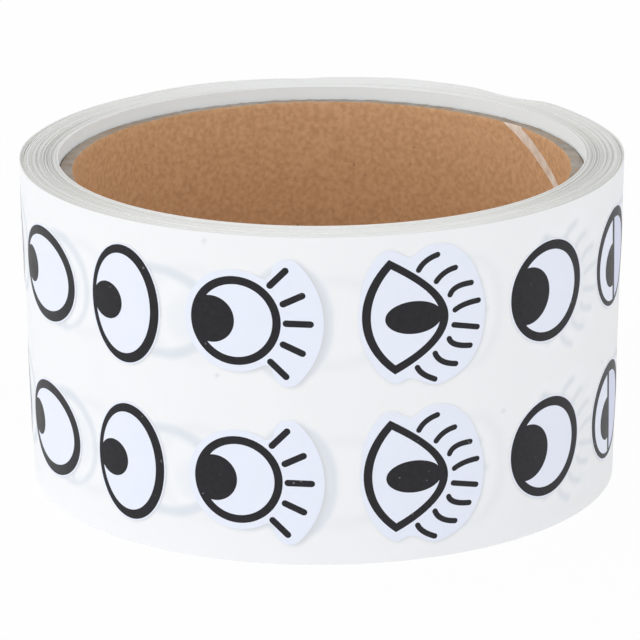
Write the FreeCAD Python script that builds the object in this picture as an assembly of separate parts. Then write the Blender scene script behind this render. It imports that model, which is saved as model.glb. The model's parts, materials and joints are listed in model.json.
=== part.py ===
import FreeCAD, Part
import os
from math import asin, atan2, ceil, cos, degrees, pi, radians, sin, tan

# A roll of eye stickers: a printed web of die-cut labels wound on a cardboard core.
# The roll stands on its end. Millimetres, +Z up the core's axis, origin at the middle of the base.
# A place round the roll is a length along the outer turn, from the front (-Y) towards +X.

# Whole roll, over all its turns and along its core
ROLL_DIAMETER = 91.52
WEB_WIDTH = 50.4

# Core, whose bore is what the winding and the wall leave
WOUND_DEPTH = 5.43
CORE_WALL = 2.23
CORE_RECESS = 2.0

# Wound web, whose turns make one body
WEB_THICKNESS = 0.15
FREE_END = 133.5
END_VALLEYS = 1
END_VALLEY_DEPTH = 0.3
END_RIM = 0.45

# Stickers, in two rows about the middle of the web
ROW_SPACING = 24.5
EDGE_GAP = 1.5
GLUE_LINE = 0.02
STICKER_THICKNESS = 0.15
PRINT_THICKNESS = 0.06
CUT_MARGIN = 0.25

# Where one repeat of the print starts, and the gap before each of its six designs
REPEAT_START = -65.05
WIDE_GAP = 4.88
TALL_GAP = 4.21
LASHED_GAP = 4.42
LEAF_GAP = 4.56
ROUND_GAP = 4.79
SLEEPY_GAP = 5.28

# Wide eye
WIDE_WIDTH = 18.0
WIDE_HEIGHT = 14.4
WIDE_STROKE = 1.5
WIDE_NEAR_STROKE = 0.9
WIDE_FAR_STROKE = 1.7
WIDE_PUPIL_R = 2.83
WIDE_PUPIL_INSET = 0.23

# Tall eye
TALL_WIDTH = 12.8
TALL_HEIGHT = 18.06
TALL_STROKE = 1.37
TALL_NEAR_STROKE = 0.75
TALL_FAR_STROKE = 1.5
TALL_PUPIL_R = 2.86
TALL_PUPIL_INSET = 0.33

# Round eye with five straight lashes
LASHED_WIDTH = 13.5
LASHED_STROKE = 1.2
LASHED_PUPIL_R = 3.56
LASHED_PUPIL_INSET = -0.49
LASHED_MARGIN = 1.0
LASHED_FAN_R = 12.9
LASHED_FAN_CORNER = 2.2
LASHED_FAN_LEAN = 45.0
LASH_START = 7.2
LASH_END = 11.4
LASH_WIDTH = 1.0
LASH_STEP = 24.0

# Pointed eye with eight curved lashes
LEAF_TOP_X = -2.6
LEAF_TOP_Z = 9.3
LEAF_BOTTOM_X = -1.6
LEAF_BOTTOM_Z = -8.2
LEAF_HALF_WIDTH = 6.5
LEAF_STROKE = 1.25
LEAF_PUPIL_X = 1.2
LEAF_PUPIL_WIDTH = 8.6
LEAF_PUPIL_HEIGHT = 5.0
LEAF_MARGIN = 0.9
LEAF_FAN_R = 12.5
LEAF_FAN_CORNER = 4.4
LEAF_FAN_LEAN = 53.0
LEAF_LASH_ANGLES = (5, 25, 50, 76)
LEAF_LASH_START = 7.4
LEAF_LASH_END = 10.8
LEAF_LASH_WIDTH = 0.85
LEAF_LASH_DROOP = 0.8
LEAF_LASH_LIFT = 4.0

# Round eye with a large pupil
ROUND_WIDTH = 15.4
ROUND_STROKE = 1.4
ROUND_NEAR_STROKE = 1.23
ROUND_FAR_STROKE = 1.57
ROUND_PUPIL_R = 4.4
ROUND_PUPIL_INSET = -1.07
ROUND_RISE = 0.45

# Sleepy eye, with a lid line down its middle
SLEEPY_WIDTH = 15.3
SLEEPY_TOP_STROKE = 1.6
SLEEPY_BOTTOM_STROKE = 0.7
SLEEPY_NEAR_STROKE = 1.25
SLEEPY_FAR_STROKE = 1.05
SLEEPY_RISE = 0.35
SLEEPY_PUPIL_R = 3.45
SLEEPY_PUPIL_DROP = 0.9
SLEEPY_LID_LEAN = 7.3
SLEEPY_LID_WIDTH = 0.95

# Straight sides in a full round, and the width of the flat panels that carry a skin round the roll
OUTLINE_SIDES = 16
PUPIL_SIDES = 12
CORNER_SIDES = 3
FAN_CORNER_TURN = 100.0
PANEL_WIDTH = 7.2

ROLL_R = ROLL_DIAMETER / 2
CORE_OUTER_R = ROLL_R - WOUND_DEPTH
CORE_BORE_R = CORE_OUTER_R - CORE_WALL
CORE_HEIGHT = WEB_WIDTH - CORE_RECESS
UP = FreeCAD.Vector(0, 0, 1)
ORIGIN = FreeCAD.Vector(0, 0, 0)


def polygon(points):
    """A flat drawing in the XZ plane."""
    corners = [FreeCAD.Vector(x, 0, z) for x, z in points]
    return Part.Face(Part.makePolygon(corners + corners[:1]))


def polar(radius, angle, centre=(0, 0)):
    return (centre[0] + radius * cos(radians(angle)), centre[1] + radius * sin(radians(angle)))


def arc(centre, radius, start, end, sides):
    return [polar(radius, start + (end - start) * k / sides, centre) for k in range(sides + 1)]


def oval(centre, width, height, sides=OUTLINE_SIDES):
    angles = [2 * pi * (k + 0.5) / sides for k in range(sides)]
    return polygon([(centre[0] + width / 2 * cos(a), centre[1] + height / 2 * sin(a)) for a in angles])


def curve(controls, sides):
    """Points of a cubic curve, given by its two ends and the two controls between them."""
    points = []
    for k in range(sides + 1):
        t = k / sides
        shares = ((1 - t) ** 3, 3 * t * (1 - t) ** 2, 3 * t * t * (1 - t), t ** 3)
        points.append(tuple(sum(s * c[i] for s, c in zip(shares, controls)) for i in (0, 1)))
    return points


def stroke(points, width):
    """A line of even width through a few points, with square ends."""
    left, right = [], []
    for k, (x, z) in enumerate(points):
        behind = points[max(k - 1, 0)]
        ahead = points[min(k + 1, len(points) - 1)]
        heading = atan2(ahead[1] - behind[1], ahead[0] - behind[0])
        aside = (-sin(heading) * width / 2, cos(heading) * width / 2)
        left.append((x + aside[0], z + aside[1]))
        right.append((x - aside[0], z - aside[1]))
    return polygon(left + right[::-1])


def fan(radius, corner, lean):
    """The cut outline round a fan of lashes: a wide arc that ends in two round corners."""
    upper = polar(radius - corner, lean)
    lower = polar(radius - corner, -lean)
    wide_sides = ceil(OUTLINE_SIDES * 2 * lean / 360)
    outline = arc(lower, corner, -lean - FAN_CORNER_TURN, -lean, CORNER_SIDES)
    outline += arc((0, 0), radius, -lean, lean, wide_sides)[1:-1]
    outline += arc(upper, corner, lean, lean + FAN_CORNER_TURN, CORNER_SIDES)
    return polygon(outline + [(0, 0)])


def ringed_eye(size, strokes, pupil_radius, pupil_inset, rise=0.0):
    """An oval with its white cut out of it, so its pupil runs into the ring on the left."""
    width, height = size
    top, bottom, near, far = strokes
    outer = oval((0, rise), width, height)
    middle = ((near - far) / 2, rise + (bottom - top) / 2)
    inner = oval(middle, width - near - far, height - top - bottom)
    pupil_x = pupil_radius + pupil_inset - width / 2
    pupil = oval((pupil_x, rise), 2 * pupil_radius, 2 * pupil_radius, PUPIL_SIDES)
    return outer.cut(inner.cut(pupil))


def margin_oval(width, height, margin, rise=0.0):
    return oval((0, rise), width + 2 * margin, height + 2 * margin)


def wide_eye():
    strokes = (WIDE_STROKE, WIDE_STROKE, WIDE_NEAR_STROKE, WIDE_FAR_STROKE)
    eye = ringed_eye((WIDE_WIDTH, WIDE_HEIGHT), strokes, WIDE_PUPIL_R, WIDE_PUPIL_INSET)
    return margin_oval(WIDE_WIDTH, WIDE_HEIGHT, CUT_MARGIN), [eye]


def tall_eye():
    strokes = (TALL_STROKE, TALL_STROKE, TALL_NEAR_STROKE, TALL_FAR_STROKE)
    eye = ringed_eye((TALL_WIDTH, TALL_HEIGHT), strokes, TALL_PUPIL_R, TALL_PUPIL_INSET)
    return margin_oval(TALL_WIDTH, TALL_HEIGHT, CUT_MARGIN), [eye]


def round_eye():
    strokes = (ROUND_STROKE, ROUND_STROKE, ROUND_NEAR_STROKE, ROUND_FAR_STROKE)
    eye = ringed_eye((ROUND_WIDTH, ROUND_WIDTH), strokes, ROUND_PUPIL_R, ROUND_PUPIL_INSET, ROUND_RISE)
    return margin_oval(ROUND_WIDTH, ROUND_WIDTH, CUT_MARGIN, ROUND_RISE), [eye]


def lashed_eye():
    size = (LASHED_WIDTH, LASHED_WIDTH)
    eye = ringed_eye(size, (LASHED_STROKE,) * 4, LASHED_PUPIL_R, LASHED_PUPIL_INSET)
    lashes = []
    for k in (-2, -1, 0, 1, 2):
        lashes.append(stroke([polar(r, k * LASH_STEP) for r in (LASH_START, LASH_END)], LASH_WIDTH))
    body = margin_oval(LASHED_WIDTH, LASHED_WIDTH, LASHED_MARGIN)
    lobe = fan(LASHED_FAN_R, LASHED_FAN_CORNER, LASHED_FAN_LEAN)
    return body.fuse(lobe).removeSplitter(), [eye] + lashes


def leaf(growth):
    """A pointed outline, rounder on its left side, grown or shrunk all round."""
    top = (LEAF_TOP_X, LEAF_TOP_Z + 1.2 * growth)
    bottom = (LEAF_BOTTOM_X, LEAF_BOTTOM_Z - 1.2 * growth)
    swell = LEAF_HALF_WIDTH + growth
    near = (-8 * swell - top[0] - bottom[0]) / 6
    far = (8 * swell - top[0] - bottom[0]) / 6
    left = curve([top, (near, 0.4 * top[1]), (near, 0.3 * bottom[1]), bottom], 6)
    right = curve([bottom, (far, 0.3 * bottom[1]), (far, 0.3 * top[1]), top], 8)
    return polygon(left + right[1:-1])


def leaf_eye():
    outer = leaf(0)
    pupil = oval((LEAF_PUPIL_X, 0), LEAF_PUPIL_WIDTH, LEAF_PUPIL_HEIGHT)
    eye = outer.cut(leaf(-LEAF_STROKE).cut(pupil))
    lashes = []
    for root in LEAF_LASH_ANGLES:
        tip = LEAF_LASH_DROOP * root + LEAF_LASH_LIFT
        bend = (root + tip + LEAF_LASH_LIFT) / 2
        radii = (LEAF_LASH_START, (LEAF_LASH_START + LEAF_LASH_END) / 2, LEAF_LASH_END)
        for side in (1, -1):
            points = [polar(r, side * a) for r, a in zip(radii, (root, bend, tip))]
            lashes.append(stroke(points, LEAF_LASH_WIDTH))
    body = leaf(LEAF_MARGIN).fuse(fan(LEAF_FAN_R, LEAF_FAN_CORNER, LEAF_FAN_LEAN))
    return body.removeSplitter(), [eye] + lashes


def sleepy_eye():
    half = SLEEPY_WIDTH / 2
    outer = oval((0, SLEEPY_RISE), SLEEPY_WIDTH, SLEEPY_WIDTH)
    middle = ((SLEEPY_NEAR_STROKE - SLEEPY_FAR_STROKE) / 2,
              SLEEPY_RISE + (SLEEPY_BOTTOM_STROKE - SLEEPY_TOP_STROKE) / 2)
    inner = oval(middle, SLEEPY_WIDTH - SLEEPY_NEAR_STROKE - SLEEPY_FAR_STROKE,
                 SLEEPY_WIDTH - SLEEPY_TOP_STROKE - SLEEPY_BOTTOM_STROKE)
    lean = tan(radians(SLEEPY_LID_LEAN))
    lid_line = [(-lean * z, z) for z in (half + SLEEPY_RISE, SLEEPY_RISE - half)]
    lid = stroke(lid_line, SLEEPY_LID_WIDTH)
    open_side = polygon(lid_line + [(-half, SLEEPY_RISE - half), (-half, SLEEPY_RISE + half)])
    pupil = oval((-SLEEPY_LID_WIDTH / 2, -SLEEPY_PUPIL_DROP), 2 * SLEEPY_PUPIL_R, 2 * SLEEPY_PUPIL_R,
                 PUPIL_SIDES)
    eye = outer.cut(inner.cut(lid).cut(pupil.common(open_side)))
    return margin_oval(SLEEPY_WIDTH, SLEEPY_WIDTH, CUT_MARGIN, SLEEPY_RISE), [eye]


def surface_radius(angle):
    """The outer turn's radius at an angle in radians: it grows by one web thickness in a full turn."""
    behind = (FREE_END / ROLL_R - angle) % (2 * pi)
    step = WEB_THICKNESS / 4
    if behind < pi:
        return ROLL_R - step + step * cos(behind)
    return ROLL_R - 3 * step - step * cos(behind)


def wrapped(drawing, cut, place, height, inner, outer):
    """A drawing wrapped round the roll between two depths, on flat panels that touch its surface.

    The cut outline of the sticker sets the panels, so a sticker and its print lie face to face.
    """
    box = cut.BoundBox
    middle = (box.XMin + box.XMax) / 2
    angle = (place + middle) / ROLL_R
    radius = surface_radius(angle)
    reach = asin((box.XLength / 2 + CUT_MARGIN) / radius)
    count = ceil(2 * reach * radius / PANEL_WIDTH)
    step = 2 * reach / count
    edges = [k * step - reach for k in range(count + 1)]
    corners = []
    for depth, order in ((inner, 1), (outer, -1)):
        r = (radius + depth) / cos(step / 2)
        corners += [FreeCAD.Vector(r * sin(a), -r * cos(a), 0) for a in edges[::order]]
    band = Part.Face(Part.makePolygon(corners + corners[:1])).extrude(UP * 2 * box.ZLength)
    band.translate(UP * (height - box.ZLength))
    block = drawing.copy()
    block.translate(FreeCAD.Vector(-middle, -1.1 * radius, height))
    block = block.extrude(FreeCAD.Vector(0, 0.3 * radius, 0))
    solid = block.common(band).Solids[0]
    solid.rotate(ORIGIN, UP, degrees(angle))
    return solid


def core():
    tube = Part.makeCylinder(CORE_OUTER_R, CORE_HEIGHT)
    return tube.cut(Part.makeCylinder(CORE_BORE_R, CORE_HEIGHT))


def half_turn(radius, start, shift):
    half = Part.makeCylinder(radius, WEB_WIDTH, ORIGIN, UP, 180)
    half.rotate(ORIGIN, UP, start)
    half.translate(shift)
    return half


def end_valleys(base, way):
    """Shallow ring valleys between the turns that stand proud at one end of the roll."""
    inner = CORE_OUTER_R + END_RIM
    pitch = (ROLL_R - WEB_THICKNESS - END_RIM - inner) / END_VALLEYS
    profile = [FreeCAD.Vector(inner, 0, base)]
    for k in range(END_VALLEYS):
        profile.append(FreeCAD.Vector(inner + (k + 0.5) * pitch, 0, base - way * END_VALLEY_DEPTH))
        profile.append(FreeCAD.Vector(inner + (k + 1) * pitch, 0, base))
    profile += [FreeCAD.Vector(r, 0, base + way) for r in (inner + END_VALLEYS * pitch, inner)]
    return Part.Face(Part.makePolygon(profile + profile[:1])).revolve(ORIGIN, UP, 360)


def liner_roll():
    """All turns of the web as one body, with the free end as a step in its outer face."""
    end = degrees(FREE_END / ROLL_R) - 90
    towards_end = FreeCAD.Vector(cos(radians(end)), sin(radians(end)), 0)
    step = WEB_THICKNESS / 4
    last_half = half_turn(ROLL_R - step, end + 180, towards_end * step)
    first_half = half_turn(ROLL_R - 3 * step, end, towards_end * -step)
    turns = last_half.fuse(first_half).removeSplitter()
    turns = turns.cut(Part.makeCylinder(CORE_OUTER_R, WEB_WIDTH))
    return turns.cut(end_valleys(WEB_WIDTH, 1)).cut(end_valleys(0, -1)).Solids[0]


def one_repeat(designs):
    """The designs laid one after another, each behind its gap, and the length that they take up."""
    laid, edge = [], REPEAT_START
    for name, gap, (cut, printed) in designs:
        place = edge + gap - cut.BoundBox.XMin
        edge = place + cut.BoundBox.XMax
        laid.append((name, place, cut, printed))
    return laid, edge - REPEAT_START


def outer_turn_places(designs):
    """Each sticker that lies whole on the outer turn, a design's copies counted back from the free end."""
    laid, repeat_length = one_repeat(designs)
    start = FREE_END - 2 * pi * ROLL_R
    repeats = ceil(2 * pi * ROLL_R / repeat_length) + 1
    places = []
    for name, first_place, cut, printed in laid:
        copy = 0
        for turn in range(repeats, -repeats - 1, -1):
            place = first_place + turn * repeat_length
            box = cut.BoundBox
            if place + box.XMin > start + EDGE_GAP and place + box.XMax < FREE_END - EDGE_GAP:
                copy += 1
                places.append((name, copy, place, cut, printed))
    return places


def build():
    nodes = {"core": core(), "liner_roll": liner_roll()}
    designs = [
        ("wide", WIDE_GAP, wide_eye()),
        ("tall", TALL_GAP, tall_eye()),
        ("lashed", LASHED_GAP, lashed_eye()),
        ("leaf", LEAF_GAP, leaf_eye()),
        ("round", ROUND_GAP, round_eye()),
        ("sleepy", SLEEPY_GAP, sleepy_eye()),
    ]
    face = GLUE_LINE + STICKER_THICKNESS
    for row, way in (("lower", -1), ("upper", 1)):
        height = WEB_WIDTH / 2 + way * ROW_SPACING / 2
        for name, copy, place, cut, printed in outer_turn_places(designs):
            sticker = wrapped(cut, cut, place, height, GLUE_LINE, face)
            inks = [wrapped(ink, cut, place, height, face, face + PRINT_THICKNESS) for ink in printed]
            nodes[f"{row}_{name}_sticker_{copy}"] = sticker
            nodes[f"{row}_{name}_print_{copy}"] = Part.makeCompound(inks)
    return nodes


os.makedirs("parts", exist_ok=True)
for name, shape in build().items():
    shape.exportStep(f"parts/{name}.step")
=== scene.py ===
import bpy
import json
import math
import numpy as np
from mathutils import Matrix, Vector, noise
from mathutils.geometry import delaunay_2d_cdt


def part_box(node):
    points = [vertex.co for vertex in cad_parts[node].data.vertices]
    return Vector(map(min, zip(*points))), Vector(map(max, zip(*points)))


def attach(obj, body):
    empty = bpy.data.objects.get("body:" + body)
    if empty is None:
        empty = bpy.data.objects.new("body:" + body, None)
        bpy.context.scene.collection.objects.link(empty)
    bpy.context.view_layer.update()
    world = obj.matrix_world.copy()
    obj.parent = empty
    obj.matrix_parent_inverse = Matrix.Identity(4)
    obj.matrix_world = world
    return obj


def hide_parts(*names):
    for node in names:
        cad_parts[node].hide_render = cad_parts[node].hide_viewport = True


# The looks of a roll of eye stickers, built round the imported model.
# Lengths are in millimetres and turned into metres where a mesh is made.
# A place round the roll is a length along the outer turn, from the front (-Y) towards +X.

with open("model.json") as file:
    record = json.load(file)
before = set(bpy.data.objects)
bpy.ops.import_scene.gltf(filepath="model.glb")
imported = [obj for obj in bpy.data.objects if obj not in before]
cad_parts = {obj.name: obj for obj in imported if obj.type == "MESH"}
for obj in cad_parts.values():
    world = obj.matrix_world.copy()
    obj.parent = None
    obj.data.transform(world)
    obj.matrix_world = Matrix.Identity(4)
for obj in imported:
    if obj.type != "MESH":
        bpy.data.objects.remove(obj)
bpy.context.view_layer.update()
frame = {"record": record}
MM = 0.001

# Sizes from the frame
roll_low, roll_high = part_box("liner_roll")
_, core_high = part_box("core")
MOUNTS = {mount["name"]: mount for mount in frame["record"]["mounts"]}
WEB_WIDTH = (roll_high.z - roll_low.z) / MM
ROLL_R = max(roll_high.x, roll_high.y, -roll_low.x, -roll_low.y) / MM
CORE_OUTER_R = core_high.x / MM
CORE_HEIGHT = core_high.z / MM
BORE_R = MOUNTS["core_bore"]["dims"]["r_mm"]

# Wound web
WEB_THICKNESS = 0.15
FREE_END = 133.5
FLARE = 1.1
TURNS = 36
BOTTOM_TURNS = 12
TURN_GROOVE = 0.035
GROOVE_DEPTH = 0.10
# A loose turn's gap is this many times deeper than wide, up to this width
GAP_DEPTH = 4.0
GAP_LIMIT = 0.6
# How far a turn's edge lies below the web's full width: for all, in waves, turn by turn, and at the back
TURN_DROP = 0.10
TURN_WAVE = 0.13
TURN_STEP = 0.10
BACK_DROP = 0.09
# Tones of the turns' edges, from 0 for dark to 1 for white
FIRST_TURN_TONE = 1.6
TURN_TONE = 0.60
TURN_TONE_CHANGE = 1.1
# The grooves between turns take a dark tone: painted shade in the gaps
GROOVE_PAINTED_SHADE_TONE = 0.12
BACK_TONE = 0.72
OUTER_EDGE_TONE = 0.75
# Clearances of the last turn: at its top edge, at its base, and in radians at its start and end
TOP_GAP = 0.05
BASE_GAP = 0.02
START_GAP = 1e-4
END_GAP = 1e-5
SHEET_SHARE = 0.9
GHOST_RELIEF = 0.03
# Where some turns stand off: angle, half width in degrees, distance, share of the winding inside it
SWELLS = (
    (165.0, 24.0, 0.55, 0.30),
    (-157.0, 22.0, 0.45, 0.10),
    (128.0, 11.0, 0.30, 0.45),
    (138.5, 11.5, -0.50, 0.90),
    (-97.0, 14.0, 0.16, 0.93),
    (97.0, 12.0, 0.14, 0.95),
)
# Where the outer turns' top edge stands above or below the rest: angle, half width in degrees, distance
EDGE_RISES = (
    (165.0, 18.0, 0.10),
    (138.5, 11.0, -0.34),
    (-155.0, 18.0, 0.06),
    (-176.0, 5.0, -0.13),
)

# Stickers
ROLL_MAP_R = 45.76
ROW_MIDDLES = {"lower": 12.88, "upper": 37.4}
REPEAT_LENGTH = 130.6
# Repeats of the designs, counted from the one in front
REPEATS = range(-2, 3)
EDGE_GAP = 1.5
STICKER_THICKNESS = 0.14
INK_THICKNESS = 0.012
GHOST_SHIFT = {"lower": 27.0, "upper": 26.5}
GHOST_BLUR = 0.3
GHOST_CELL = 0.2
# How strongly the stickers one and two turns down show through
GHOST_STRENGTHS = {1: 1.0, 2: 0.3}
# The painted shadow line at some stickers' cut edge: how far it lies to the right, down, and how soft
PAINTED_CUT_SHADOW = {"lashed": (0.62, 0.25, 0.2), "leaf": (0.3, 0.2, 0.2)}
PLAIN_PAINTED_CUT_SHADOW = (0.12, 0.1, 0.14)
SHADOW_CELL = 0.15
# Specks on the liner: place, height and size
SPECKS = ((-17.2, 49.0, 0.3), (-15.7, 28.7, 0.3), (-5.8, 3.7, 0.3), (28.4, 21.0, 0.3), (54.3, 21.9, 0.3))

# Camera, fitted to the photograph
PHOTO_WIDTH = 640
CAMERA_DISTANCE = 665.32
CAMERA_ELEVATION = 0.30361
CAMERA_YAW = -0.00065
CAMERA_PITCH = 0.00255
CAMERA_ROLL = -0.00615
FOCAL_PIXELS = 4295.6
SENSOR_WIDTH = 36.0


# Meshes

def on_roll(theta, z, radius):
    """Points at an angle from the front, in metres."""
    return np.stack([radius * np.sin(theta), -radius * np.cos(theta), z], -1) * MM


def new_piece(name, points, faces, materials, slots, sharp_angle=35.0):
    mesh = bpy.data.meshes.new(name)
    mesh.from_pydata([tuple(p) for p in np.asarray(points).reshape(-1, 3)], [], faces)
    for material in materials:
        mesh.materials.append(material)
    mesh.polygons.foreach_set("material_index", np.asarray(slots, dtype=np.int32))
    mesh.polygons.foreach_set("use_smooth", np.ones(len(mesh.polygons), dtype=bool))
    mesh.set_sharp_from_angle(angle=math.radians(sharp_angle))
    mesh.update()
    piece = bpy.data.objects.new(name, mesh)
    bpy.context.scene.collection.objects.link(piece)
    return piece


def dress(piece, node):
    """The piece stands for this CAD node, which it hides, and hangs from the root body."""
    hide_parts(node)
    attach(piece, "root")


def point_attribute(piece, name, values):
    layer = piece.data.attributes.new(name, "FLOAT", "POINT")
    layer.data.foreach_set("value", np.asarray(values, dtype=np.float32).ravel())


def face_attribute(piece, name, values):
    layer = piece.data.attributes.new(name, "FLOAT", "FACE")
    layer.data.foreach_set("value", np.asarray(values, dtype=np.float32).ravel())


# Flat drawings

def ellipse(cx, cz, a, b, count=88):
    t = np.arange(count) * 2 * np.pi / count
    return np.stack([cx + a * np.cos(t), cz + b * np.sin(t)], -1)


def arc(cx, cz, radius, start, end, step):
    count = max(2, int(abs(end - start) / step))
    t = np.radians(np.linspace(start, end, count + 1))
    return np.stack([cx + radius * np.cos(t), cz + radius * np.sin(t)], -1)


def cubic(controls, count):
    p = np.asarray(controls, float)
    t = np.linspace(0, 1, count + 1)[:, None]
    return (1 - t) ** 3 * p[0] + 3 * t * (1 - t) ** 2 * p[1] + 3 * t * t * (1 - t) * p[2] + t ** 3 * p[3]


def closed_curve(points, steps=6):
    """A smooth closed curve through its points."""
    p = np.asarray(points, float)
    before, after, later = np.roll(p, 1, 0), np.roll(p, -1, 0), np.roll(p, -2, 0)
    out = []
    for k in range(len(p)):
        for t in np.arange(steps) / steps:
            out.append(0.5 * (2 * p[k] + (after[k] - before[k]) * t
                              + (2 * before[k] - 5 * p[k] + 4 * after[k] - later[k]) * t * t
                              + (3 * p[k] - before[k] - 3 * after[k] + later[k]) * t ** 3))
    return np.array(out)


def brush_line(points, width):
    """The outline of a round-ended stroke through two or three points."""
    bend_points, cap_step = 9, 22
    p = np.asarray(points, float)
    if len(p) == 3:
        bend = 2 * p[1] - (p[0] + p[2]) / 2
        t = np.linspace(0, 1, bend_points)[:, None]
        p = (1 - t) ** 2 * p[0] + 2 * t * (1 - t) * bend + t * t * p[2]
    along = np.gradient(p, axis=0)
    heading = np.arctan2(along[:, 1], along[:, 0])
    side = np.stack([-np.sin(heading), np.cos(heading)], -1) * width / 2
    first, last = np.degrees(heading[0]), np.degrees(heading[-1])
    end_cap = arc(p[-1][0], p[-1][1], width / 2, last + 90, last - 90, cap_step)
    start_cap = arc(p[0][0], p[0][1], width / 2, first - 90, first - 270, cap_step)
    return np.concatenate([(p + side)[1:-1], end_cap, (p - side)[::-1][1:-1], start_cap])


def inside(outline, x, z):
    """Which points lie within a closed outline."""
    hit = np.zeros(np.shape(x), bool)
    for (x0, z0), (x1, z1) in zip(outline, np.roll(outline, -1, 0)):
        if z0 == z1:
            continue
        crosses = (z0 > z) != (z1 > z)
        hit ^= crosses & (x < (x1 - x0) * (z - z0) / (z1 - z0) + x0)
    return hit


def eye(cut, ring, white, pupil, lashes=(), lid=None):
    """A design: its cut outline, the outlines of its print, and which points carry ink or tint."""
    outlines = [cut, ring, white, pupil, *lashes] + ([lid] if lid is not None else [])

    def inked(x, z):
        ink = inside(ring, x, z) & (~inside(white, x, z) | inside(pupil, x, z))
        for lash in lashes:
            ink |= inside(lash, x, z)
        if lid is not None:
            ink |= inside(lid, x, z) & inside(ring, x, z)
        return ink

    def tinted(x, z):
        if lid is None:
            return np.zeros(np.shape(x), bool)
        return inside(white, x, z) & (x > lid_line(z)) & ~inside(lid, x, z)

    return {"cut": cut, "outlines": outlines, "inked": inked, "tinted": tinted}


LID_TOP = (-0.9, 7.6)
LID_BOTTOM = (1.05, -7.4)


def lid_line(z):
    """Where the sleepy eye's lid line is at a height."""
    return LID_TOP[0] + (LID_TOP[1] - z) * (LID_BOTTOM[0] - LID_TOP[0]) / (LID_TOP[1] - LID_BOTTOM[1])


def wide_eye():
    return eye(ellipse(0, 0, 9.25, 7.45), ellipse(0, 0, 9.0, 7.2), ellipse(-0.4, 0, 7.7, 5.7),
               ellipse(-5.94, 0, 2.83, 2.83, 56))


def tall_eye():
    return eye(ellipse(0, 0, 6.62, 9.26), ellipse(0, 0, 6.39, 9.03), ellipse(-0.38, 0, 5.27, 7.66),
               ellipse(-3.21, 0, 2.86, 2.86, 56))


def round_eye():
    return eye(ellipse(0, 0.45, 7.92, 7.92), ellipse(0, 0.45, 7.7, 7.7), ellipse(-0.17, 0.45, 6.3, 6.3),
               clipped_pupil(-4.37, 0.45, 4.4, 0, 0.45, 7.55))


def clipped_pupil(cx, cz, radius, ring_x, ring_z, ring_radius):
    """A pupil whose left side is cut off just inside the ring's outer edge."""
    p = ellipse(cx, cz, radius, radius, 72)
    away = p - (ring_x, ring_z)
    reach = np.hypot(away[:, 0], away[:, 1])
    scale = np.minimum(1.0, ring_radius / np.maximum(reach, 1e-6))
    return away * scale[:, None] + (ring_x, ring_z)


def lashed_eye():
    lower = np.concatenate([
        arc(4.5, -7.505, 1.0, 120.95, 0.1, 15),
        arc(7.7, -7.5, 2.2, -179.9, -44.2, 12)[1:],
    ])
    upper = np.concatenate([
        arc(7.7, 7.5, 2.2, 44.2, 179.9, 12)[1:],
        arc(4.5, 7.505, 1.0, -0.1, -120.95, 15)[1:],
    ])
    cut = np.concatenate([arc(0, 0, 7.75, 59.05, 300.95, 5)[:-1], lower,
                          arc(0, 0, 12.93, -44.2, 44.2, 4)[1:], upper[:-1]])
    ends = (
        ((5.22, 5.64), (7.47, 7.93)),
        ((7.09, 2.89), (9.84, 4.20)),
        ((7.51, -0.05), (11.01, -0.13)),
        ((7.05, -3.25), (9.84, -4.57)),
        ((5.18, -5.96), (7.43, -8.17)),
    )
    return eye(cut, ellipse(0, 0, 6.75, 6.75), ellipse(0, 0, 5.53, 5.53),
               clipped_pupil(-3.68, 0, 3.56, 0, 0, 6.6), [brush_line(p, 1.0) for p in ends])


def leaf_outline(top, bottom, left, right_controls):
    """A pointed outline: a plain arc on the left, a fuller curve on the right."""
    left_steps, right_steps, roundness = 26, 30, 0.42
    near = (4 * left - (top[0] + bottom[0]) / 2) / 3
    left_side = cubic([top, (near, roundness * top[1]), (near, roundness * bottom[1]), bottom], left_steps)
    right_side = cubic([bottom, right_controls[1], right_controls[0], top], right_steps)
    return np.concatenate([left_side[:-1], right_side[:-1]])


def leaf_eye():
    cut = closed_curve([
        (-6.95, 0.5), (-6.5, 5.1), (-5.4, 8.2), (-3.7, 10.3), (-1.9, 10.55), (0.3, 9.45), (1.6, 10.0),
        (3.1, 10.9), (5.0, 11.1), (7.2, 10.5), (9.1, 8.9), (10.6, 6.9), (12.1, 2.9), (12.5, 0.1),
        (12.3, -2.65), (11.6, -5.15), (10.0, -7.65), (7.4, -9.5), (5.0, -10.3), (3.2, -10.0), (1.6, -9.2),
        (0.3, -9.0), (-1.5, -9.6), (-3.6, -8.3), (-5.4, -5.8), (-6.6, -2.65),
    ])
    ring = leaf_outline((-2.6, 9.3), (-1.6, -8.2), -6.47, ((9.1, 2.7), (9.6, -2.6)))
    white = leaf_outline((-2.3, 7.85), (-1.54, -6.8), -5.18, ((7.35, 2.4), (7.8, -2.15)))
    strokes = (
        ((1.82, 7.39), (2.90, 8.64), (4.67, 9.43)),
        ((4.53, 5.40), (5.80, 6.56), (7.48, 7.14)),
        ((6.70, 3.10), (7.80, 4.16), (10.09, 4.48)),
        ((7.53, 0.70), (9.15, 1.35), (11.34, 1.60)),
        ((7.38, -1.57), (9.30, -2.00), (11.23, -2.44)),
        ((6.65, -3.60), (7.70, -4.60), (10.09, -5.10)),
        ((4.46, -5.57), (5.60, -6.90), (7.75, -7.57)),
        ((1.75, -7.44), (2.70, -8.55), (4.46, -9.50)),
    )
    return eye(cut, ring, white, ellipse(1.2, 0.26, 4.3, 2.49, 60), [brush_line(p, 0.85) for p in strokes])


def sleepy_eye():
    pupil = ellipse(-0.45, -0.9, 3.45, 3.45, 72)
    lid = brush_line([LID_TOP, LID_BOTTOM], 0.95)
    pupil[:, 0] = np.minimum(pupil[:, 0], lid_line(pupil[:, 1]))
    return eye(ellipse(0, 0.35, 7.87, 7.87), ellipse(0, 0.35, 7.65, 7.65), ellipse(0.1, -0.1, 6.5, 6.5),
               pupil, lid=lid)


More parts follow.
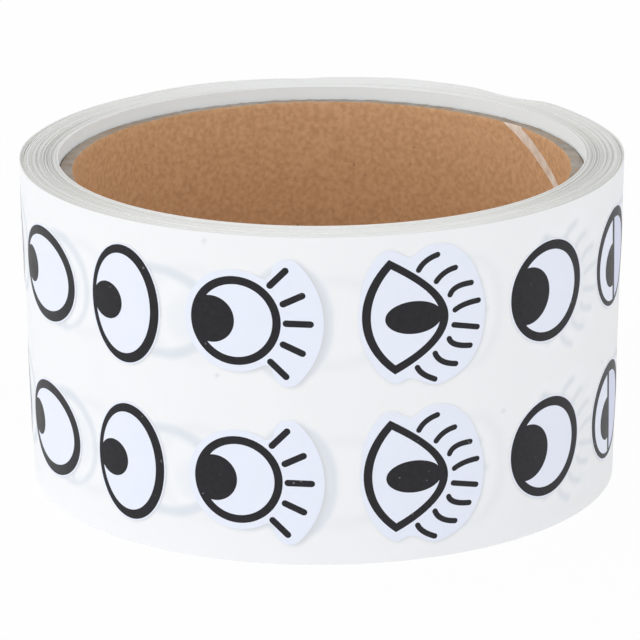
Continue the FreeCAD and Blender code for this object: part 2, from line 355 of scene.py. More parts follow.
# The designs of one repeat: place, and how far the lower row's copy is shifted
DESIGNS = (
    ("wide", -51.1, -0.3, wide_eye()),
    ("tall", -31.3, 0.15, tall_eye()),
    ("lashed", -12.76, 0.0, lashed_eye()),
    ("leaf", 12.1, 0.25, leaf_eye()),
    ("round", 36.97, 0.6, round_eye()),
    ("sleepy", 57.8, 0.2, sleepy_eye()),
)
DESIGN_OF = {name: design for name, _, _, design in DESIGNS}


def outer_turn_stickers():
    """Name, copy, place and lower row's shift of the outer turn's stickers, counted as in the source."""
    start = FREE_END - 2 * math.pi * ROLL_MAP_R
    found = []
    for name, place, shift, design in DESIGNS:
        copy = 0
        for turn in reversed(REPEATS):
            at = place + turn * REPEAT_LENGTH
            low, high = at + design["cut"][:, 0].min(), at + design["cut"][:, 0].max()
            if low > start + EDGE_GAP and high < FREE_END - EDGE_GAP:
                copy += 1
                found.append((name, copy, at, shift))
    return found


# The roll's shape

def bump(angle, middle, half_width):
    away = (np.degrees(angle) - middle + 180) % 360 - 180
    return np.cos(np.clip(away / half_width, -1, 1) * np.pi / 2) ** 2


def swell(theta, z, share=1.0):
    """How far turns at this share of the winding stand off."""
    out = 0.0
    for middle, half_width, distance, first in SWELLS:
        if share >= first:
            out = out + distance * bump(theta, middle, half_width) * np.clip(z / WEB_WIDTH, 0, 1) ** 2
    return out


def edge_rise(theta):
    """How far the outer turns' top edge stands above or below the rest, round the roll."""
    return sum(distance * bump(theta, middle, half_width) for middle, half_width, distance in EDGE_RISES)


def roll_surface(theta, z):
    """The outer face's radius, with the spiral of the web and the roll's flare."""
    behind = (FREE_END / ROLL_MAP_R - theta) % (2 * np.pi)
    spiral = WEB_THICKNESS * behind / (2 * np.pi)
    return ROLL_R - spiral + FLARE * (z / WEB_WIDTH - 0.5) + swell(theta, z)


def drawing_grid(cell, low_x, high_x, half_height):
    """A grid over a flat drawing: its steps each way, and the x and z of its points."""
    xs, zs = np.arange(low_x, high_x, cell), np.arange(-half_height, half_height, cell)
    grid_x, grid_z = np.meshgrid(xs, zs, indexing="ij")
    return xs, zs, grid_x, grid_z


def blurred(mask, sigma_cells):
    reach = int(3 * sigma_cells) + 1
    kernel = np.exp(-0.5 * (np.arange(-reach, reach + 1) / sigma_cells) ** 2)
    kernel /= kernel.sum()
    for axis in (0, 1):
        mask = np.apply_along_axis(np.convolve, axis, mask, kernel, "same")
    return mask


def painted_cut_shadow_and_specks(theta, z):
    """Painted shadow: the soft grey line beside each sticker, set off to the right and down from its cut;
    and the specks on the liner.
    """
    painted_shadow_and_specks = np.zeros(theta.shape)
    u = theta * ROLL_MAP_R
    xs, zs, grid_x, grid_z = drawing_grid(SHADOW_CELL, -11, 16, 13)
    for name, _, place, shift in outer_turn_stickers():
        aside, fall, sigma = PAINTED_CUT_SHADOW.get(name, PLAIN_PAINTED_CUT_SHADOW)
        mask = inside(DESIGN_OF[name]["cut"], grid_x - aside, grid_z + fall).astype(float)
        mask = blurred(mask, sigma / SHADOW_CELL)
        for row, middle in ROW_MIDDLES.items():
            at = place + (shift if row == "lower" else 0.0)
            painted_shadow_and_specks = np.maximum(painted_shadow_and_specks, sampled(mask, u - at, z - middle, xs, zs))
    for speck_x, speck_z, size in SPECKS:
        away = ((u - speck_x) ** 2 + (z - speck_z) ** 2) / size ** 2
        painted_shadow_and_specks = np.maximum(painted_shadow_and_specks, np.exp(-away))
    return painted_shadow_and_specks


def sampled(field, x, z, xs, zs):
    """A gridded field read at points, and 0 away from its grid."""
    i, j = (x - xs[0]) / (xs[1] - xs[0]), (z - zs[0]) / (zs[1] - zs[0])
    near = (i > 0) & (i < len(xs) - 2) & (j > 0) & (j < len(zs) - 2)
    ii, jj = i[near].astype(int), j[near].astype(int)
    fi, fj = i[near] - ii, j[near] - jj
    out = np.zeros(np.shape(x))
    out[near] = ((1 - fi) * (1 - fj) * field[ii, jj] + fi * (1 - fj) * field[ii + 1, jj]
                 + (1 - fi) * fj * field[ii, jj + 1] + fi * fj * field[ii + 1, jj + 1])
    return out


def ghost_fields(theta, z):
    """How much of the hidden stickers' print, and of the stickers, shows through the outer turn."""
    xs, zs, grid_x, grid_z = drawing_grid(GHOST_CELL, -12, 17, 14)
    ink, body = np.zeros(theta.shape), np.zeros(theta.shape)
    u = theta * ROLL_MAP_R
    for depth, strength in GHOST_STRENGTHS.items():
        sigma = GHOST_BLUR * depth / GHOST_CELL
        for _, place, _, design in DESIGNS:
            ink_map = blurred(design["inked"](grid_x, grid_z).astype(float), sigma)
            body_map = blurred(inside(design["cut"], grid_x, grid_z).astype(float), sigma)
            for row, middle in ROW_MIDDLES.items():
                for turn in REPEATS:
                    centre = place + turn * REPEAT_LENGTH + depth * GHOST_SHIFT[row]
                    ink = np.maximum(ink, strength * sampled(ink_map, u - centre, z - middle, xs, zs))
                    body = np.maximum(body, strength * sampled(body_map, u - centre, z - middle, xs, zs))
    return ink, body


# Materials

def shader(name, roughness, specular):
    """A material with its nodes, links and surface shader."""
    material = bpy.data.materials.new(name)
    material.use_nodes = True
    nodes, links = material.node_tree.nodes, material.node_tree.links
    surface = nodes["Principled BSDF"]
    surface.inputs["Roughness"].default_value = roughness
    surface.inputs["Specular IOR Level"].default_value = specular
    return material, nodes, links, surface


def noise_at(nodes, links, scale, detail, stretch=(1, 1, 1), distortion=0.0):
    """Noise in the object's own space: the scale is in features per metre."""
    coords = nodes.new("ShaderNodeTexCoord")
    mapping = nodes.new("ShaderNodeMapping")
    mapping.inputs["Scale"].default_value = stretch
    texture = nodes.new("ShaderNodeTexNoise")
    texture.inputs["Scale"].default_value = scale
    texture.inputs["Detail"].default_value = detail
    texture.inputs["Distortion"].default_value = distortion
    links.new(coords.outputs["Object"], mapping.inputs["Vector"])
    links.new(mapping.outputs["Vector"], texture.inputs["Vector"])
    return texture.outputs["Fac"]


def attribute(nodes, name):
    node = nodes.new("ShaderNodeAttribute")
    node.attribute_name = name
    return node.outputs["Fac"]


def ramp(nodes, links, value, stops):
    """Colours along a value from 0 to 1."""
    node = nodes.new("ShaderNodeValToRGB")
    elements = node.color_ramp.elements
    while len(elements) < len(stops):
        elements.new(0.5)
    for element, (position, colour) in zip(elements, stops):
        element.position = position
        element.color = (*colour, 1)
    links.new(value, node.inputs["Fac"])
    return node.outputs["Color"]


def scaled(nodes, links, value, low, high):
    """A value from 0 to 1 spread over another range."""
    node = nodes.new("ShaderNodeMapRange")
    node.inputs["To Min"].default_value = low
    node.inputs["To Max"].default_value = high
    links.new(value, node.inputs["Value"])
    return node.outputs["Result"]


# Sockets of a node that mixes colours: its factor, its two colours and its result
MIX_FACTOR, MIX_FIRST, MIX_SECOND, MIX_RESULT = 0, 6, 7, 2


def mixed(nodes, links, factor, first, second):
    """A mix of two colours; a colour is a socket or three numbers."""
    node = nodes.new("ShaderNodeMix")
    node.data_type = "RGBA"
    for place, value in ((MIX_FACTOR, factor), (MIX_FIRST, first), (MIX_SECOND, second)):
        if isinstance(value, tuple):
            node.inputs[place].default_value = (*value, 1)
        else:
            links.new(value, node.inputs[place])
    return node.outputs[MIX_RESULT]


def spots(nodes, links, scale, start, full, stretch=(1, 1, 1)):
    """Sparse white spots on black, where fine noise passes from start to full."""
    value = noise_at(nodes, links, scale, 1, stretch)
    return ramp(nodes, links, value, ((start, (0, 0, 0)), (full, (1, 1, 1))))


def add_bump(nodes, links, surface, height, distance, strength):
    node = nodes.new("ShaderNodeBump")
    node.inputs["Strength"].default_value = strength
    node.inputs["Distance"].default_value = distance * MM
    links.new(height, node.inputs["Height"])
    links.new(node.outputs["Normal"], surface.inputs["Normal"])


LINER = (0.870, 0.872, 0.882)
LINER_SHADE = (0.845, 0.849, 0.862)
LINER_BACK = (0.865, 0.905, 0.915)
LINER_BACK_SHADE = (0.845, 0.885, 0.895)
GHOST_INK = (0.71, 0.745, 0.79)
GHOST_BODY = (0.88, 0.90, 0.925)
# Grey of the painted shadow beside the stickers, also used for the liner's specks
PAINTED_SHADOW_AND_SPECK = (0.68, 0.70, 0.73)
TURN_TONES = (
    (0.0, (0.54, 0.535, 0.51)),
    (0.25, (0.70, 0.69, 0.64)),
    (0.55, (0.82, 0.815, 0.785)),
    (0.95, (0.92, 0.93, 0.935)),
    (1.0, (0.97, 0.97, 0.97)),
)
TURN_FIBRE = (0.78, 0.78, 0.76)
STICKER = (0.80, 0.83, 0.93)
STICKER_SHADE = (0.78, 0.81, 0.91)
PAPER_EDGE = (0.90, 0.90, 0.90)
PAPER_EDGE_SHADE = (0.82, 0.82, 0.83)
INK = (0.013, 0.0125, 0.016)
INK_WORN = (0.019, 0.018, 0.022)
INK_SCUFF = (0.20, 0.20, 0.21)
LID_TINT = (0.60, 0.63, 0.80)
LID_TINT_LIGHT = (0.65, 0.68, 0.85)
KRAFT = (0.635, 0.377, 0.200)
KRAFT_DARK = (0.54, 0.308, 0.155)
KRAFT_LIGHT = (0.715, 0.447, 0.250)
KRAFT_SPECK = (0.22, 0.12, 0.065)
KRAFT_FLECK = (0.76, 0.56, 0.37)
PLY_STRIP = (0.85, 0.77, 0.70)
PLY_STRIP_DARK = (0.66, 0.53, 0.43)
BOARD_END = (0.40, 0.365, 0.325)
BOARD_END_DARK = (0.30, 0.265, 0.23)
BOARD_END_LIGHT = (0.47, 0.435, 0.39)
BOARD_END_BROWN = (0.42, 0.29, 0.19)
# The core end's outer lip: the board's brown, darkened as painted shade in the corner against the liner
LIP_PAINTED_SHADE = (0.17, 0.115, 0.085)
LIP_PAINTED_SHADE_LIGHT = (0.36, 0.27, 0.20)


def liner_material():
    material, nodes, links, surface = shader("glassine liner", 0.55, 0.16)
    cloud = noise_at(nodes, links, 70, 3)
    colour = mixed(nodes, links, cloud, LINER, LINER_SHADE)
    body = scaled(nodes, links, attribute(nodes, "ghost_body"), 0.0, 0.35)
    colour = mixed(nodes, links, body, colour, GHOST_BODY)
    colour = mixed(nodes, links, attribute(nodes, "ghost_ink"), colour, GHOST_INK)
    # Painted shadow beside the stickers' cut edges, together with the liner's specks
    colour = mixed(nodes, links, attribute(nodes, "painted_cut_shadow_and_specks"), colour, PAINTED_SHADOW_AND_SPECK)
    links.new(colour, surface.inputs["Base Color"])
    add_bump(nodes, links, surface, noise_at(nodes, links, 900, 4), 0.012, 0.35)
    return material


def liner_back_material():
    material, nodes, links, surface = shader("liner's plain side", 0.7, 0.15)
    cloud = noise_at(nodes, links, 120, 3)
    links.new(mixed(nodes, links, cloud, LINER_BACK, LINER_BACK_SHADE), surface.inputs["Base Color"])
    add_bump(nodes, links, surface, noise_at(nodes, links, 900, 4), 0.012, 0.35)
    return material


def turn_edge_material():
    material, nodes, links, surface = shader("web edges", 0.7, 0.25)
    tone = ramp(nodes, links, attribute(nodes, "turn_tone"), TURN_TONES)
    fibre = noise_at(nodes, links, 1500, 2)
    colour = mixed(nodes, links, scaled(nodes, links, fibre, 0.0, 0.35), tone, TURN_FIBRE)
    links.new(colour, surface.inputs["Base Color"])
    add_bump(nodes, links, surface, fibre, 0.03, 0.4)
    return material


def sticker_material():
    material, nodes, links, surface = shader("sticker face", 0.5, 0.2)
    cloud = noise_at(nodes, links, 160, 2)
    links.new(mixed(nodes, links, cloud, STICKER, STICKER_SHADE), surface.inputs["Base Color"])
    add_bump(nodes, links, surface, noise_at(nodes, links, 700, 3), 0.010, 0.3)
    return material


def sticker_edge_material():
    material, nodes, links, surface = shader("sticker cut edge", 0.8, 0.2)
    fibre = noise_at(nodes, links, 2500, 2)
    links.new(mixed(nodes, links, fibre, PAPER_EDGE, PAPER_EDGE_SHADE), surface.inputs["Base Color"])
    add_bump(nodes, links, surface, fibre, 0.02, 0.4)
    return material


def ink_material():
    material, nodes, links, surface = shader("printed ink", 0.45, 0.24)
    speckle = ramp(nodes, links, noise_at(nodes, links, 1400, 4), ((0.35, INK), (0.75, INK_WORN)))
    scuffs = spots(nodes, links, 1250, 0.755, 0.80)
    worn = mixed(nodes, links, scaled(nodes, links, scuffs, 0.0, 0.6), speckle, INK_SCUFF)
    links.new(worn, surface.inputs["Base Color"])
    rough = scaled(nodes, links, noise_at(nodes, links, 500, 2), 0.38, 0.52)
    links.new(rough, surface.inputs["Roughness"])
    add_bump(nodes, links, surface, noise_at(nodes, links, 700, 3), 0.010, 0.3)
    return material


def tint_material():
    material, nodes, links, surface = shader("printed lid tint", 0.40, 0.45)
    cloud = noise_at(nodes, links, 900, 3)
    links.new(mixed(nodes, links, cloud, LID_TINT, LID_TINT_LIGHT), surface.inputs["Base Color"])
    add_bump(nodes, links, surface, noise_at(nodes, links, 700, 3), 0.010, 0.3)
    return material


def kraft_material():
    material, nodes, links, surface = shader("kraft board", 0.75, 0.25)
    mottle = ramp(nodes, links, noise_at(nodes, links, 1300, 6), (
        (0.34, KRAFT_DARK), (0.52, KRAFT), (0.70, KRAFT_LIGHT)))
    fibres = noise_at(nodes, links, 2600, 4, distortion=0.5)
    colour = mixed(nodes, links, scaled(nodes, links, fibres, 0.0, 0.45), mottle, KRAFT_DARK)
    specks = spots(nodes, links, 1100, 0.735, 0.79)
    colour = mixed(nodes, links, scaled(nodes, links, specks, 0.0, 0.5), colour, KRAFT_SPECK)
    flecks = spots(nodes, links, 1400, 0.73, 0.79, (0.8, 1, 1))
    colour = mixed(nodes, links, scaled(nodes, links, flecks, 0.0, 0.35), colour, KRAFT_FLECK)
    links.new(colour, surface.inputs["Base Color"])
    add_bump(nodes, links, surface, fibres, 0.03, 0.5)
    return material


def ply_strip_material():
    material, nodes, links, surface = shader("inner ply at the seam", 0.8, 0.2)
    mottle = ramp(nodes, links, noise_at(nodes, links, 500, 5), ((0.3, PLY_STRIP_DARK), (0.7, PLY_STRIP)))
    links.new(mottle, surface.inputs["Base Color"])
    add_bump(nodes, links, surface, noise_at(nodes, links, 900, 4), 0.05, 0.6)
    return material


def board_end_material():
    material, nodes, links, surface = shader("cut board end", 0.85, 0.15)
    grain = noise_at(nodes, links, 420, 4)
    colour = ramp(nodes, links, grain, ((0.3, BOARD_END_DARK), (0.5, BOARD_END), (0.75, BOARD_END_LIGHT)))
    patches = scaled(nodes, links, noise_at(nodes, links, 240, 3), -0.7, 1.3)
    links.new(mixed(nodes, links, patches, colour, BOARD_END_BROWN), surface.inputs["Base Color"])
    add_bump(nodes, links, surface, grain, 0.08, 0.6)
    return material


# Painted shade on the ragged outer lip of the core's end, where it meets the liner
def painted_lip_shade_material():
    material, nodes, links, surface = shader("board lip in painted shade", 0.9, 0.1)
    grain = noise_at(nodes, links, 1200, 3)
    links.new(mixed(nodes, links, grain, LIP_PAINTED_SHADE, LIP_PAINTED_SHADE_LIGHT), surface.inputs["Base Color"])
    add_bump(nodes, links, surface, grain, 0.1, 0.7)
    return material


# Pieces

def outer_turn(liner, edge):
    """The web's last turn: a thin sheet with the hidden stickers faintly seen and felt through it."""
    columns, rows = 740, 128
    end = FREE_END / ROLL_MAP_R
    theta = np.linspace(end - 2 * np.pi + START_GAP, end - END_GAP, columns + 1)
    share = np.linspace(0, 1, rows + 1)
    grid_theta = np.repeat(theta[:, None], rows + 1, 1)
    top = WEB_WIDTH - TOP_GAP + edge_rise(theta)
    z = BASE_GAP + share[None, :] * (top[:, None] - BASE_GAP)
    ink, body = ghost_fields(grid_theta, z)
    radius = roll_surface(grid_theta, z) + GHOST_RELIEF * body
    outer = on_roll(grid_theta, z, radius)
    inner_z = z[:, [-1, 0]]
    inner_theta = grid_theta[:, [-1, 0]]
    inner_radius = roll_surface(inner_theta, inner_z) - SHEET_SHARE * WEB_THICKNESS
    inner = on_roll(inner_theta, inner_z, inner_radius)
    points = np.concatenate([outer, inner], 1)
    loop = rows + 3
    faces, slots = [], []
    for c in range(columns):
        for k in range(loop):
            a, b = c * loop + k, c * loop + (k + 1) % loop
            faces.append((a, a + loop, b + loop, b))
            slots.append(0 if k < rows else 1)
    faces += [tuple(range(loop)), tuple(range((columns + 1) * loop - 1, columns * loop - 1, -1))]
    slots += [1, 1]
    piece = new_piece("outer_turn", points, faces, [liner, edge], slots)
    pad = np.zeros((columns + 1, 2))
    point_attribute(piece, "ghost_ink", np.concatenate([ink, pad], 1))
    point_attribute(piece, "ghost_body", np.concatenate([body, pad], 1))
    # Painted shadow beside each sticker, with the specks, kept at the sheet's points
    point_attribute(piece, "painted_cut_shadow_and_specks", np.concatenate([painted_cut_shadow_and_specks(grid_theta, z), pad], 1))
    face_attribute(piece, "turn_tone", np.full(len(faces), OUTER_EDGE_TONE))
    dress(piece, "liner_roll")


def turn_height(turn, theta):
    """How far below the web's full width one turn's edge lies, round the roll."""
    wave = [noise.noise(Vector((turn * 0.53, 1.3 * math.cos(t) + 7, 1.3 * math.sin(t)))) for t in theta]
    fine = noise.noise(Vector((turn * 3.7, 2.1, 5.3)))
    return np.maximum(TURN_DROP + TURN_WAVE * np.array(wave) + TURN_STEP * fine, 0.0)


def end_rings(turns, theta, height_of, radius_of):
    """Rings of points across one end of the winding, from the core out, and the tones of their bands."""
    rings, tones = [], []
    for turn in range(turns):
        inner, outer = turn / turns, (turn + 1) / turns
        height = height_of(turn)
        rings.append((radius_of(inner + 0.02 / turns, inner + 0.5 / turns) + TURN_GROOVE / 2, height))
        rings.append((radius_of(outer, inner + 0.5 / turns) - TURN_GROOVE / 2, height))
        gap = radius_of(outer, outer + 0.5 / turns) - radius_of(outer, inner + 0.5 / turns)
        depth = GROOVE_DEPTH + GAP_DEPTH * np.clip(gap, 0, GAP_LIMIT)
        depth = depth * (1 - 0.6 * bump(theta, 180, 105))
        rings.append((radius_of(outer, inner + 0.5 / turns) + gap * 0.5, height + depth))
        tone = TURN_TONE + TURN_TONE_CHANGE * noise.noise(Vector((turn * 1.9, 9.1, 0.4)))
        # The two faces down into each groove take the painted shade's dark tone
        tones += [FIRST_TURN_TONE if turn == 0 else tone, GROOVE_PAINTED_SHADE_TONE, GROOVE_PAINTED_SHADE_TONE]
    return rings, tones


def wound_turns(liner, edge, liner_back):
    """All turns inside the last one, with their edges side by side at both ends."""
    columns = 540
    low_end_waves = 50
    theta = np.arange(columns) * 2 * np.pi / columns
    smooth_back = 0.8 * bump(theta, 180, 110)

    def radius_of(z):
        def at(share, owner):
            full = roll_surface(theta, z) - swell(theta, z) - WEB_THICKNESS
            return CORE_OUTER_R + (full - CORE_OUTER_R) * share + swell(theta, z, min(owner, 1.0))
        return at

    def top_height(turn):
        uneven = turn_height(turn, theta) * min(1.0, turn / 2)
        return uneven + (BACK_DROP - uneven) * smooth_back - edge_rise(theta) * (turn / TURNS) ** 2

    def low_height(turn):
        return turn_height(turn + low_end_waves, theta)

    top, top_tones = end_rings(TURNS, theta, top_height, radius_of(WEB_WIDTH))
    low, low_tones = end_rings(BOTTOM_TURNS, theta, low_height, radius_of(0.0))
    profile = [(r, WEB_WIDTH - h) for r, h in top[:-1]]
    profile += [(r, np.maximum(h, BASE_GAP)) for r, h in low[:-1][::-1]]
    tones = top_tones[:len(top) - 1] + low_tones[:len(low) - 1][::-1]
    loop = len(profile)
    points = np.stack([on_roll(theta, z + 0 * theta, r) for r, z in profile], 1)
    faces, slots, tone_of = [], [], []
    # Painted light: the turns' edges are lighter at the front of the roll, and a little at the back, than
    # at the sides
    painted_light_on_ends = 0.14 * np.cos(theta) ** 2 + 0.45 * bump(theta, 0, 75)
    wall_out, wall_in = len(top) - 2, loop - 1
    for c in range(columns):
        following = (c + 1) % columns
        for k in range(loop):
            nxt = (k + 1) % loop
            faces.append((c * loop + k, c * loop + nxt, following * loop + nxt, following * loop + k))
            slots.append(0 if k == wall_out else 2 if k == wall_in else 1)
            tone_of.append(tones[k] + (BACK_TONE - tones[k]) * smooth_back[c] + painted_light_on_ends[c])
    piece = new_piece("wound_turns", points, faces, [liner, edge, liner_back], slots)
    face_attribute(piece, "turn_tone", tone_of)
    dress(piece, "liner_roll")


def core_tube(kraft, ply, board_end, painted_lip_shade):
    """The board core, with the gap between its inner ply's windings as a shallow helical strip."""
    # The seam's angles in degrees at the top, its lead in degrees for each millimetre down
    seam_top, seam_width, seam_lead = 131.4, 7.0, 3.05
    step_width, plain_gap, ragged_reach = 0.1, 1.2, 12
    seam_depth = 0.22
    rows, outer_rows, plain_columns = 64, 40, 420
    seam = seam_top - seam_width
    marks = [(seam - step_width, 0.0), (seam, 1.0), (seam + seam_width * 0.5, 1.0),
             (seam + seam_width, 1.0), (seam + seam_width + step_width, 0.0)]
    plain = np.linspace(seam + seam_width + plain_gap, seam + 360 - plain_gap, plain_columns)
    angles = np.array([a for a, _ in marks] + list(plain))
    depths = np.array([d for _, d in marks] + [0.0] * len(plain))
    columns = len(angles)
    lip = 0.25
    heights = np.linspace(lip, CORE_HEIGHT - lip, rows + 1)

    def column(angle, deep):
        points = []
        near_seam = abs(angle - seam) < ragged_reach
        for z in heights:
            ragged = 0.5 * noise.noise(Vector((0.0, angle * 0.4, z * 0.9))) if near_seam else 0.0
            t = math.radians(angle - seam_lead * (CORE_HEIGHT - z) + ragged)
            wobble = 0.02 * noise.noise(Vector((3 * math.cos(t), 3 * math.sin(t), z * 0.15)))
            edge_wobble = 0.05 * noise.noise(Vector((40 * math.cos(t), 40 * math.sin(t), 1.0)))
            points.append((t, z, BORE_R + wobble + deep * (seam_depth + edge_wobble)))
        middle = (BORE_R + CORE_OUTER_R) / 2
        t_top = math.radians(angle)
        t_low = math.radians(angle - seam_lead * CORE_HEIGHT)
        across, along = 30 * math.cos(t_top), 30 * math.sin(t_top)
        rag = [noise.noise(Vector((across, along, layer))) for layer in (0.0, 5.0, 9.0)]
        top = CORE_HEIGHT
        # The worn top end, from the bore out
        points += [
            (t_top, top - 0.06 + 0.10 * rag[0], BORE_R + deep * seam_depth + 0.10 + 0.05 * rag[1]),
            (t_top, top + 0.04 * rag[1], middle - 0.4 + 0.2 * rag[2]),
            (t_top, top - 0.05 + 0.06 * rag[2], middle + 0.4),
            (t_top, top - 0.12 + 0.15 * rag[0], CORE_OUTER_R - 0.30 + 0.18 * rag[1]),
            (t_top, top - 0.30, CORE_OUTER_R - 0.05),
        ]
        for z in np.linspace(top - 0.4, 0.4, outer_rows):
            points.append((math.radians(angle - seam_lead * (CORE_HEIGHT - z)), z, CORE_OUTER_R - 0.02))
        points += [
            (t_low, 0.03, CORE_OUTER_R - 0.15),
            (t_low, 0.03, BORE_R + deep * seam_depth + 0.15),
        ]
        return points

    grid = np.array([column(a, d) for a, d in zip(angles, depths)])
    loop = grid.shape[1]
    points = on_roll(grid[:, :, 0], grid[:, :, 1], grid[:, :, 2])
    faces, slots = [], []
    # The outer lip's row of faces on the end takes the painted shade
    painted_shade_row = rows + 4
    for c in range(columns):
        following = (c + 1) % columns
        in_seam = depths[c] > 0.5 and depths[following] > 0.5
        for k in range(loop):
            nxt = (k + 1) % loop
            faces.append((c * loop + k, following * loop + k, following * loop + nxt, c * loop + nxt))
            on_bore = k <= rows or k == loop - 1
            slots.append((1 if in_seam else 0) if on_bore else 3 if k == painted_shade_row else 2)
    piece = new_piece("core_tube", points, faces, [kraft, ply, board_end, painted_lip_shade], slots, sharp_angle=50)
    dress(piece, "core")


def flat_triangles(outlines):
    """Triangles of a flat drawing: its outlines stay edges, and points between take the roll's curve."""
    spacing, merge_distance = 0.95, 1e-5
    cut = outlines[0]
    low, high = cut.min(0), cut.max(0)
    xs, zs = np.arange(low[0], high[0], spacing), np.arange(low[1], high[1], spacing)
    grid_x, grid_z = [g.ravel() for g in np.meshgrid(xs, zs)]
    keep = inside(cut, grid_x, grid_z)
    points = [tuple(p) for outline in outlines for p in outline]
    edges, start = [], 0
    for outline in outlines:
        count = len(outline)
        edges += [(start + k, start + (k + 1) % count) for k in range(count)]
        start += count
    points += list(zip(grid_x[keep], grid_z[keep]))
    vectors = [Vector((float(x), float(z))) for x, z in points]
    found = delaunay_2d_cdt(vectors, edges, [], 0, merge_distance)
    coords = np.array([tuple(v) for v in found[0]])
    triangles = np.array([f for f in found[2] if len(f) == 3])
    middles = coords[triangles].mean(1)
    return coords, triangles, middles


def slab(name, coords, groups, inner, outer, place, height, materials, wall_slot):
    """A closed thin layer of triangles, laid on the roll between two depths over its surface."""
    triangles = np.concatenate([t for t, _ in groups])
    slots = np.concatenate([np.full(len(t), s) for t, s in groups])
    used, flat = np.unique(triangles, return_inverse=True)
    triangles = flat.reshape(triangles.shape)
    xz = coords[used]
    theta = (place + xz[:, 0]) / ROLL_MAP_R
    z = height + xz[:, 1]
    surface = roll_surface(theta, z)
    points = np.concatenate([on_roll(theta, z, surface + outer), on_roll(theta, z, surface + inner)])
    count = len(used)
    area = np.cross(xz[triangles[:, 1]] - xz[triangles[:, 0]], xz[triangles[:, 2]] - xz[triangles[:, 0]])
    triangles = np.where((area > 0)[:, None], triangles, triangles[:, ::-1])
    edge_count = {}
    for a, b, c in triangles.tolist():
        for edge in ((a, b), (b, c), (c, a)):
            key = (min(edge), max(edge))
            edge_count.setdefault(key, []).append(edge)
    faces = triangles.tolist() + (triangles[:, ::-1] + count).tolist()
    all_slots = list(slots) + list(slots)
    for edge_list in edge_count.values():
        if len(edge_list) == 1:
            a, b = edge_list[0]
            faces.append([b, a, a + count, b + count])
            all_slots.append(wall_slot)
    return new_piece(name, points, faces, materials, all_slots, sharp_angle=40)


def sticker_rows(face, edge, ink, tint):
    drawings = {}
    for name, _, _, design in DESIGNS:
        coords, triangles, middles = flat_triangles(design["outlines"])
        x, z = middles[:, 0], middles[:, 1]
        drawings[name] = (coords, triangles[inside(design["cut"], x, z)], triangles[design["inked"](x, z)],
                          triangles[design["tinted"](x, z)])
    for row, middle in ROW_MIDDLES.items():
        for name, copy, place, shift in outer_turn_stickers():
            at = place + (shift if row == "lower" else 0.0)
            coords, body, printed, shaded = drawings[name]
            label = slab(f"{row}_{name}_label_{copy}", coords, [(body, 0)], 0.0, STICKER_THICKNESS,
                         at, middle, [face, edge], 1)
            dress(label, f"{row}_{name}_sticker_{copy}")
            groups = [(printed, 0)] + ([(shaded, 1)] if len(shaded) else [])
            ink_piece = slab(f"{row}_{name}_ink_{copy}", coords, groups, STICKER_THICKNESS,
                             STICKER_THICKNESS + INK_THICKNESS, at, middle, [ink, tint], 0)
            dress(ink_piece, f"{row}_{name}_print_{copy}")


# Stage, light and camera

# The light tent's sides: axis, sign and strength
TENT_SIDES = (("Z", 1.0, 0.32), ("X", -1.0, 2.05), ("X", 1.0, 1.34), ("Y", -1.0, 1.5), ("Y", 1.0, 1.0))
TENT_COLOUR = (0.985, 0.993, 1.0, 1)
FLOOR_COLOUR = (0.9, 0.9, 0.9, 1)
FLOOR_GLOW = 0.95
WHITE = (1, 1, 1, 1)


def seen_ray(nodes, links):
    """1 for a ray that shows its surface: to the camera, in a gloss or through glass."""
    path = nodes.new("ShaderNodeLightPath")
    total = path.outputs["Is Camera Ray"]
    for name in ("Is Glossy Ray", "Is Transmission Ray"):
        add = nodes.new("ShaderNodeMath")
        add.operation = "ADD"
        add.use_clamp = True
        links.new(total, add.inputs[0])
        links.new(path.outputs[name], add.inputs[1])
        total = add.outputs["Value"]
    return total


def floor():
    mesh = bpy.data.meshes.new("floor")
    reach = 2.5
    corners = [(-reach, -reach, 0), (reach, -reach, 0), (reach, reach, 0), (-reach, reach, 0)]
    mesh.from_pydata(corners, [], [(0, 1, 2, 3)])
    material = bpy.data.materials.new("white table")
    material.use_nodes = True
    nodes, links = material.node_tree.nodes, material.node_tree.links
    surface = nodes["Principled BSDF"]
    surface.inputs["Base Color"].default_value = FLOOR_COLOUR
    surface.inputs["Roughness"].default_value = 0.9
    white = nodes.new("ShaderNodeEmission")
    white.inputs["Color"].default_value = WHITE
    mix = nodes.new("ShaderNodeMixShader")
    links.new(scaled(nodes, links, seen_ray(nodes, links), 0.0, FLOOR_GLOW), mix.inputs["Fac"])
    links.new(surface.outputs["BSDF"], mix.inputs[1])
    links.new(white.outputs["Emission"], mix.inputs[2])
    links.new(mix.outputs["Shader"], nodes["Material Output"].inputs["Surface"])
    mesh.materials.append(material)
    plane = bpy.data.objects.new("floor", mesh)
    bpy.context.scene.collection.objects.link(plane)


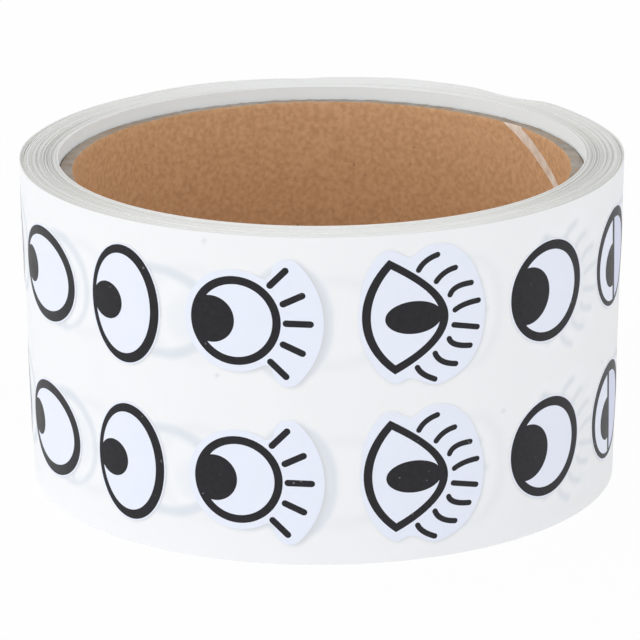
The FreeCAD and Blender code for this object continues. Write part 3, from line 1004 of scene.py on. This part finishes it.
def tent_light(sides):
    """Light from the sides of a white tent round the table; the camera sees plain white instead."""
    world = bpy.data.worlds.new("light tent")
    bpy.context.scene.world = world
    world.use_nodes = True
    nodes, links = world.node_tree.nodes, world.node_tree.links

    def calculated(operation, first, second):
        node = nodes.new("ShaderNodeMath")
        node.operation = operation
        for socket, value in zip(node.inputs, (first, second)):
            if isinstance(value, float):
                socket.default_value = value
            else:
                links.new(value, socket)
        return node.outputs["Value"]

    way = nodes.new("ShaderNodeSeparateXYZ")
    links.new(nodes.new("ShaderNodeTexCoord").outputs["Generated"], way.inputs["Vector"])
    total = 0.0
    for axis, sign, strength in sides:
        towards = calculated("MAXIMUM", calculated("MULTIPLY", way.outputs[axis], sign), 0.0)
        share = calculated("MULTIPLY", calculated("MULTIPLY", towards, towards), strength)
        total = calculated("ADD", share, total)
    soft = nodes["Background"]
    soft.inputs["Color"].default_value = TENT_COLOUR
    links.new(total, soft.inputs["Strength"])
    white = nodes.new("ShaderNodeBackground")
    white.inputs["Color"].default_value = WHITE
    mix = nodes.new("ShaderNodeMixShader")
    links.new(seen_ray(nodes, links), mix.inputs["Fac"])
    links.new(soft.outputs["Background"], mix.inputs[1])
    links.new(white.outputs["Background"], mix.inputs[2])
    links.new(mix.outputs["Shader"], nodes["World Output"].inputs["Surface"])


def camera():
    pitch = CAMERA_ELEVATION + CAMERA_PITCH
    level = math.cos(pitch)
    forward = Vector((math.sin(CAMERA_YAW) * level, math.cos(CAMERA_YAW) * level, -math.sin(pitch)))
    level_right = forward.cross(Vector((0, 0, 1))).normalized()
    level_up = level_right.cross(forward)
    right = level_right * math.cos(CAMERA_ROLL) + level_up * math.sin(CAMERA_ROLL)
    up = level_up * math.cos(CAMERA_ROLL) - level_right * math.sin(CAMERA_ROLL)
    data = bpy.data.cameras.new("camera")
    data.sensor_width = SENSOR_WIDTH
    data.sensor_fit = "HORIZONTAL"
    data.lens = FOCAL_PIXELS / PHOTO_WIDTH * SENSOR_WIDTH
    data.clip_end = 20
    view = bpy.data.objects.new("camera", data)
    turn = Matrix((right, up, -forward)).transposed()
    view.matrix_world = Matrix.Translation(Vector((
        0,
        -CAMERA_DISTANCE * math.cos(CAMERA_ELEVATION),
        WEB_WIDTH / 2 + CAMERA_DISTANCE * math.sin(CAMERA_ELEVATION),
    )) * MM) @ turn.to_4x4()
    bpy.context.scene.collection.objects.link(view)
    bpy.context.scene.camera = view


liner_paper = liner_material()
web_edges = turn_edge_material()
outer_turn(liner_paper, web_edges)
wound_turns(liner_paper, web_edges, liner_back_material())
core_tube(kraft_material(), ply_strip_material(), board_end_material(), painted_lip_shade_material())
sticker_rows(sticker_material(), sticker_edge_material(), ink_material(), tint_material())

floor()
tent_light(TENT_SIDES)
camera()
bpy.context.scene.view_settings.view_transform = "Standard"
